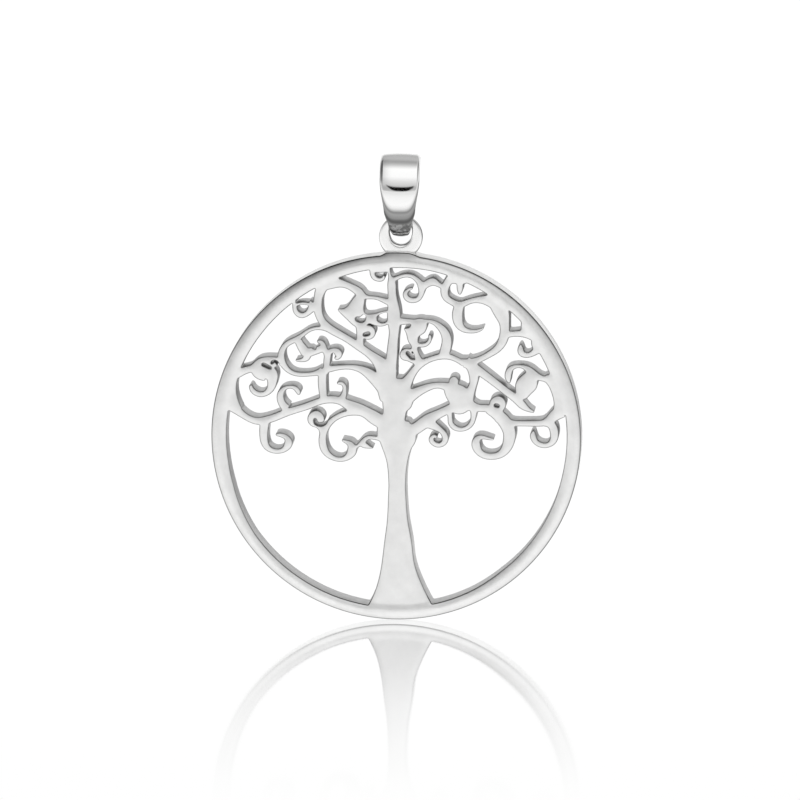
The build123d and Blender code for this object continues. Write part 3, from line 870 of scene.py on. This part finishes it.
def baked(blank, name):
    """Plain mesh of an object's evaluated modifiers; the blank object is deleted."""
    graph = bpy.context.evaluated_depsgraph_get()
    made = bpy.data.meshes.new_from_object(blank.evaluated_get(graph))
    made.name = name
    old = blank.data
    bpy.data.objects.remove(blank)
    bpy.data.meshes.remove(old)
    return made


# -------- loop

# Points round the loop's oval, and round the strip's section.
OVAL_STEPS = 220
STRIP_STEPS = 96
# Share down from the loop's top to its foot, and the width there as a share of the widest.
BAIL_WIDTHS = (
    (0.0, 0.93), (0.05, 0.98), (0.15, 1.01), (0.3, 1.0), (0.42, 0.95), (0.514, 0.88), (0.614, 0.81),
    (0.69, 0.775), (0.741, 0.715), (0.807, 0.625), (0.889, 0.55), (0.948, 0.46), (1.0, 0.35),
)


def bail_nodes(material, names):
    """Geometry tree: crowned strip swept round an oval and narrowed by its height."""
    tree = bpy.data.node_groups.new("bent_strip_loop", "GeometryNodeTree")

    def add(kind, links=None, values=None, **attributes):
        made = tree.nodes.new(kind)
        for key, value in attributes.items():
            setattr(made, key, value)
        for key, value in (values or {}).items():
            made.inputs[key].default_value = value
        for key, source in (links or {}).items():
            if isinstance(source, bpy.types.Node):
                source = source.outputs[0]
            tree.links.new(source, made.inputs[key])
        return made

    def calc(operation, a, b=0.0):
        return maths(tree, operation, a, b)

    def placed(shape, how, vector):
        return add("GeometryNodeSetPosition", {"Geometry": shape, how: vector})

    for name in names:
        tree.interface.new_socket(name, in_out="INPUT", socket_type="NodeSocketFloat")
    tree.interface.new_socket("Geometry", in_out="OUTPUT", socket_type="NodeSocketGeometry")
    given = add("NodeGroupInput").outputs
    half_strip = calc("MULTIPLY", given["Strip"], 0.5)
    circle = add(
        "GeometryNodeCurvePrimitiveCircle", values={"Resolution": OVAL_STEPS, "Radius": 1.0}
    )
    place = add("GeometryNodeInputPosition").outputs[0]
    apart = split(tree, place)
    is_up = calc("GREATER_THAN", apart["Y"], 0.0)
    reach = add("ShaderNodeMix", {"Factor": is_up, "A": given["Lower"], "B": given["Upper"]})
    deep = calc("SUBTRACT", given["Half Depth"], half_strip)
    tall = calc("SUBTRACT", reach.outputs[0], half_strip)
    oval = add(
        "ShaderNodeCombineXYZ",
        {"X": calc("MULTIPLY", apart["X"], deep), "Y": calc("MULTIPLY", apart["Y"], tall)},
    )
    path = placed(circle, "Position", oval)
    upright = add("GeometryNodeSetCurveNormal", {"Curve": path}, mode="Z_UP")
    section = add(
        "GeometryNodeCurvePrimitiveQuadrilateral",
        {"Width": given["Strip"], "Height": given["Width"]},
    )
    eased = add(
        "GeometryNodeFilletCurve", {"Curve": section, "Radius": given["Edge"]},
        {"Count": 5, "Limit Radius": True}, mode="POLY",
    )
    cut = add("GeometryNodeSubdivideCurve", {"Curve": eased}, {"Cuts": 2})
    fine = add(
        "GeometryNodeResampleCurve", {"Curve": cut}, {"Count": STRIP_STEPS}, mode="COUNT"
    )
    across = calc("DIVIDE", calc("MULTIPLY", apart["Y"], 2.0), given["Width"])
    bend = calc("POWER", calc("ABSOLUTE", across), given["Roundness"])
    fall = calc("MULTIPLY", bend, given["Crown"])
    share_out = calc("DIVIDE", calc("ADD", apart["X"], half_strip), given["Strip"])
    drop = calc("MULTIPLY", fall, share_out)
    inward = add("ShaderNodeCombineXYZ", {"X": calc("MULTIPLY", drop, -1.0)})
    bowed = placed(fine, "Offset", inward)
    skin = add("GeometryNodeCurveToMesh", {"Curve": upright, "Profile Curve": bowed})
    height = calc("ADD", given["Upper"], given["Lower"])
    down = calc("DIVIDE", calc("SUBTRACT", given["Upper"], apart["Y"]), height)
    taper = add("ShaderNodeFloatCurve", {"Value": down})
    line = taper.mapping.curves[0].points
    for share, width in BAIL_WIDTHS[1:-1]:
        line.new(share, width)
    line[0].location = BAIL_WIDTHS[0]
    line[len(line) - 1].location = BAIL_WIDTHS[-1]
    taper.mapping.update()
    back = calc("MAXIMUM", calc("DIVIDE", apart["X"], given["Half Depth"]), 0.0)
    slim = calc("SUBTRACT", 1.0, calc("MULTIPLY", back, given["Narrowing"]))
    final = add(
        "ShaderNodeCombineXYZ",
        {
            "X": calc("MULTIPLY", apart["Z"], calc("MULTIPLY", taper.outputs[0], slim)),
            "Y": apart["X"],
            "Z": calc("ADD", apart["Y"], given["Middle"]),
        },
    )
    stood = placed(skin, "Position", final)
    shaded = add("GeometryNodeSetShadeSmooth", {"Geometry": stood})
    real = add("GeometryNodeRealizeInstances", {"Geometry": shaded})
    coated = add("GeometryNodeSetMaterial", {"Geometry": real}, {"Material": material})
    add("NodeGroupOutput", {"Geometry": coated})
    return tree


def bail_piece(settings, material):
    """The loop's finished object."""
    upper = BAIL_HIGH.z - BAIL_LOW.z - settings.lower
    values = {
        "Half Depth": (BAIL_HIGH.y - BAIL_LOW.y) / 2,
        "Upper": upper,
        "Lower": settings.lower + settings.foot_drop,
        "Middle": BAIL_HIGH.z - upper,
        "Width": BAIL_HIGH.x - BAIL_LOW.x,
        "Strip": settings.strip,
        "Crown": settings.crown,
        "Roundness": settings.roundness,
        "Narrowing": settings.narrowing,
        "Edge": settings.edge,
    }
    tree = bail_nodes(material, values)
    blank = linked(bpy.data.meshes.new("bail_blank"))
    modifier = blank.modifiers.new("loop", "NODES")
    modifier.node_group = tree
    for item in tree.interface.items_tree:
        if item.in_out == "INPUT":
            modifier[item.identifier] = values[item.name]
    made = baked(blank, "bail_loop")
    bm = bmesh.new()
    bm.from_mesh(made)
    made.materials.clear()
    return add_piece(written(bm, made), material)


# -------- stage


# Grey of each part of the room, by height angle in degrees.
ROOM = {
    "left": (
        (-90, 0.8), (-2, 0.8), (0, 0.62), (8, 0.46), (15, 0.38), (21, 0.29), (27, 0.22),
        (33, 0.15), (40, 0.09), (50, 0.04), (90, 0.03),
    ),
    "right": (
        (-90, 0.85), (0, 0.78), (8, 0.64), (20, 0.5), (30, 0.38), (42, 0.26), (55, 0.2), (90, 0.2),
    ),
    "side": ((-90, 0.9), (0, 1.0), (10, 0.9), (20, 0.55), (35, 0.3), (50, 0.12), (90, 0.06)),
    "rear": (
        (-90, 1.0), (0, 1.04), (18, 1.04), (27, 0.9), (38, 0.6), (50, 0.44), (62, 0.5), (90, 0.53),
    ),
    "panel": (
        (7, 0.5), (11, 0.65), (20, 0.83), (29, 1.05), (50, 1.08), (57, 0.85), (64, 0.62),
        (74, 0.42), (84, 0.36),
    ),
}
# Place from the front to the back of the room, as a share, and the ceiling's grey there.
CEILING = (
    (0.3, 0.36), (0.42, 0.36), (0.5, 0.5), (0.6, 0.54), (0.7, 0.52), (0.82, 0.44), (0.9, 0.6),
)


# Places across the picture, as the light's x there: the bright panel, its half width from
# lit to dark, and the dark streak's middle.
PANEL_PLACE, PANEL_HALF = 0.13, (0.36, 0.44)
STREAK_PLACE = 0.03
# How strongly the streak's lower and upper edges bow down at its sides.
STREAK_BOWS = (11.5, 4.0)


def soft_light(scene):
    """World light by direction: a bright front panel with a dark streak, walls and a ceiling."""
    world = bpy.data.worlds.new("soft_studio")
    scene.world = world
    world.use_nodes = True
    tree = world.node_tree
    tree.nodes.clear()
    x, y, z = split(tree, tree.nodes.new("ShaderNodeTexCoord").outputs["Generated"])

    def calc(operation, a, b=0.0):
        return maths(tree, operation, a, b)

    def steps(factor, *stops):
        return ramp(tree, factor, stops)

    def by_height(factor, *stops):
        return ramp(tree, factor, [((math.sin(math.radians(a)) + 1) / 2, g) for a, g in stops])

    up = calc("MULTIPLY", calc("ADD", z, 1.0), 0.5)
    left, right, side, rear, panel = (by_height(up, *stops) for stops in ROOM.values())
    flat = calc("SQRT", calc("ADD", calc("MULTIPLY", x, x), calc("MULTIPLY", y, y)))
    facing = calc("DIVIDE", calc("MULTIPLY", y, -1.0), calc("MAXIMUM", flat, 1e-4))
    ahead = calc("MAXIMUM", facing, 0.0)
    behind = calc("MAXIMUM", calc("MULTIPLY", facing, -1.0), 0.0)
    across = calc("MULTIPLY", calc("ADD", x, 1.0), 0.5)
    front = mix_colour(tree, steps(across, (0.45, 0.0), (0.6, 1.0)), left, right)
    colour = mix_colour(tree, steps(ahead, (0.35, 0.0), (0.75, 1.0)), side, front)
    colour = mix_colour(tree, steps(behind, (0.2, 0.0), (0.6, 1.0)), colour, rear)
    open_top = calc(
        "MULTIPLY", by_height(up, (48, 0.0), (60, 1.0)), steps(across, (0.3, 0.0), (0.42, 1.0))
    )
    along = calc("MULTIPLY", calc("ADD", y, 1.0), 0.5)
    colour = mix_colour(tree, open_top, colour, steps(along, *CEILING))
    middle = calc("ADD", x, math.sin(CAMERA_TURN))
    off_panel = calc("ABSOLUTE", calc("SUBTRACT", middle, PANEL_PLACE))
    in_front = steps(ahead, (0.0, 0.0), (0.05, 1.0))
    narrow = calc(
        "MULTIPLY", steps(off_panel, *zip(PANEL_HALF, (1.0, 0.0))),
        by_height(up, (0, 0.0), (2, 1.0), (78, 1.0), (85, 0.0)),
    )
    dimmed = steps(across, (0.35, 0.88), (0.39, 0.94), (0.425, 1.0))
    panel = mix_colour(tree, dimmed, (0.0, 0.0, 0.0), panel)
    colour = mix_colour(tree, calc("MULTIPLY", narrow, in_front), colour, panel)
    bowed = calc("POWER", calc("ABSOLUTE", calc("SUBTRACT", middle, STREAK_PLACE)), 3.0)
    over, under = (calc("SUBTRACT", up, calc("MULTIPLY", bowed, by)) for by in STREAK_BOWS)
    streak = in_front
    for part in (
        steps(over, (0.5, 0.0), (0.508, 1.0)), by_height(under, (7, 1.0), (9, 0.0)),
        steps(across, (0.35, 0.0), (0.39, 1.0)), steps(across, (0.553, 1.0), (0.567, 0.0)),
    ):
        streak = calc("MULTIPLY", streak, part)
    colour = mix_colour(tree, streak, colour, (0.0, 0.0, 0.0))
    lit = tree.nodes.new("ShaderNodeBackground")
    tree.links.new(colour, lit.inputs["Color"])
    seen = node(tree, "ShaderNodeBackground", Color=WHITE)
    apart_for_camera(tree, lit, seen, "ShaderNodeOutputWorld")


# Distance in front of the pendant, as a share of the reach, and how much the table mirrors there.
MIRROR_REACH = 70 * MM
MIRROR_SHARES = (
    (0.0, 0.7), (0.2, 0.6), (0.455, 0.27), (0.61, 0.14), (0.81, 0.03), (0.9, 0.01), (1.0, 0.0),
)
# Share of the way from the start, in front, to the reach behind it, and the light cast there.
CAST_START, CAST_REACH = -400 * MM, 600 * MM
CAST_SHARES = (
    (0.0, 0.86), (0.133, 0.9), (0.35, 0.97), (0.5, 1.03), (0.64, 1.08), (0.767, 1.08),
    (0.817, 0.35), (1.0, 0.3),
)
TABLE_HALF = 6.0


def table_material():
    """White glossy table whose mirror fades towards the viewer."""
    material = bpy.data.materials.new("white_table")
    material.use_nodes = True
    tree = material.node_tree
    tree.nodes.clear()
    along = split(tree, tree.nodes.new("ShaderNodeTexCoord").outputs["Object"])["Y"]
    reach = maths(tree, "DIVIDE", maths(tree, "MULTIPLY", along, -1.0), MIRROR_REACH)
    mirror = tree.nodes.new("ShaderNodeMixShader")
    glow = node(tree, "ShaderNodeEmission", Color=WHITE)
    gloss = node(tree, "ShaderNodeBsdfGlossy", Color=WHITE, Roughness=0.06)
    tree.links.new(ramp(tree, reach, MIRROR_SHARES), mirror.inputs[0])
    tree.links.new(glow.outputs[0], mirror.inputs[1])
    tree.links.new(gloss.outputs[0], mirror.inputs[2])
    way = maths(tree, "DIVIDE", maths(tree, "SUBTRACT", along, CAST_START), CAST_REACH, clamp=True)
    cast = tree.nodes.new("ShaderNodeEmission")
    tree.links.new(ramp(tree, way, CAST_SHARES), cast.inputs["Color"])
    apart_for_camera(tree, cast, mirror, "ShaderNodeOutputMaterial")
    return material


def table(settings):
    """Wide table top just under the disc."""
    level = DISC_LOW.z - settings.table_gap
    mesh = bpy.data.meshes.new("table_top")
    corners = [(-1, -1), (1, -1), (1, 1), (-1, 1)]
    mesh.from_pydata(
        [(x * TABLE_HALF, y * TABLE_HALF, level) for x, y in corners], [], [(0, 1, 2, 3)]
    )
    piece = add_piece(mesh, table_material())


# The picture's width, and how far right and up of the disc's middle it is aimed, in pixels.
PICTURE = 800
AIM_RIGHT, AIM_UP = 3.35, 36.2
SENSOR = 36.0


def camera(scene, settings):
    """Camera far in front, a little to the right and above, aimed over the disc's middle."""
    turn, rise = settings.azimuth, settings.elevation
    level = math.cos(rise)
    away = Vector((math.sin(turn) * level, -math.cos(turn) * level, math.sin(rise)))
    right = Vector((math.cos(turn), math.sin(turn), 0))
    up = right.cross(-away)
    pixel = settings.view_width / PICTURE
    aim = Vector((DISC_X, 0, DISC_Z)) + right * AIM_RIGHT * pixel + up * AIM_UP * pixel
    lens = bpy.data.cameras.new("camera")
    lens.sensor_width = SENSOR
    lens.lens = SENSOR * settings.distance / settings.view_width
    lens.clip_start = 0.01
    lens.clip_end = 100
    viewer = linked(lens)
    viewer.matrix_world = Matrix.Translation(aim + away * settings.distance) @ (
        away.to_track_quat("Z", "Y").to_matrix().to_4x4()
    )
    scene.camera = viewer


# -------- operators


class PENDANT_OT_disc(bpy.types.Operator):
    """Build the cast disc with its tree"""

    bl_idname = "pendant.disc"
    bl_label = "Cast disc"

    def execute(self, context):
        settings = context.scene.pendant_disc
        piece = add_piece(disc_mesh(settings), satin_silver(settings))
        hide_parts("tree_disc")
        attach(piece, "disc")
        return {"FINISHED"}


class PENDANT_OT_eye(bpy.types.Operator):
    """Build the ring soldered on the disc, with its solder foot"""

    bl_idname = "pendant.eye"
    bl_label = "Eye ring"

    def execute(self, context):
        settings = context.scene.pendant_eye
        piece = add_piece(eye_mesh(settings), ring_silver(settings))
        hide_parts("tree_disc")
        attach(piece, "disc")
        return {"FINISHED"}


class PENDANT_OT_bail(bpy.types.Operator):
    """Build the polished loop"""

    bl_idname = "pendant.bail"
    bl_label = "Loop"

    def execute(self, context):
        settings = context.scene.pendant_bail
        piece = bail_piece(settings, polished_silver(settings))
        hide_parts("bail")
        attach(piece, "bail")
        return {"FINISHED"}


class PENDANT_OT_stage(bpy.types.Operator):
    """Build the table, the light and the camera"""

    bl_idname = "pendant.stage"
    bl_label = "Stage"

    def execute(self, context):
        settings = context.scene.pendant_stage
        soft_light(context.scene)
        table(settings)
        camera(context.scene, settings)
        context.scene.view_settings.view_transform = "Standard"
        return {"FINISHED"}


class PENDANT_PT_panel(bpy.types.Panel):
    """Lists the pendant's pieces and their settings"""

    bl_idname = "PENDANT_PT_panel"
    bl_label = "Tree of life pendant"
    bl_space_type = "VIEW_3D"
    bl_region_type = "UI"
    bl_category = "Pendant"

    def draw(self, context):
        for group, operator in zip(SETTINGS, OPERATORS):
            settings = getattr(context.scene, group)
            box = self.layout.box()
            for name in settings.__annotations__:
                box.prop(settings, name)
            box.operator(operator.bl_idname)


SETTINGS = {
    "pendant_disc": DiscSettings,
    "pendant_eye": EyeSettings,
    "pendant_bail": BailSettings,
    "pendant_stage": StageSettings,
}
OPERATORS = (PENDANT_OT_disc, PENDANT_OT_eye, PENDANT_OT_bail, PENDANT_OT_stage)
CLASSES = (*SETTINGS.values(), *OPERATORS, PENDANT_PT_panel)


def register():
    """Register the classes and hang their settings on the scene."""
    for cls in CLASSES:
        bpy.utils.register_class(cls)
    for name, kind in SETTINGS.items():
        setattr(bpy.types.Scene, name, bpy.props.PointerProperty(type=kind))


def unregister():
    """Undo register."""
    for name in SETTINGS:
        delattr(bpy.types.Scene, name)
    for cls in reversed(CLASSES):
        bpy.utils.unregister_class(cls)


def main():
    """Build the whole scene."""
    register()
    bpy.ops.pendant.stage()
    bpy.ops.pendant.disc()
    bpy.ops.pendant.eye()
    bpy.ops.pendant.bail()


if __name__ == "__main__":
    main()
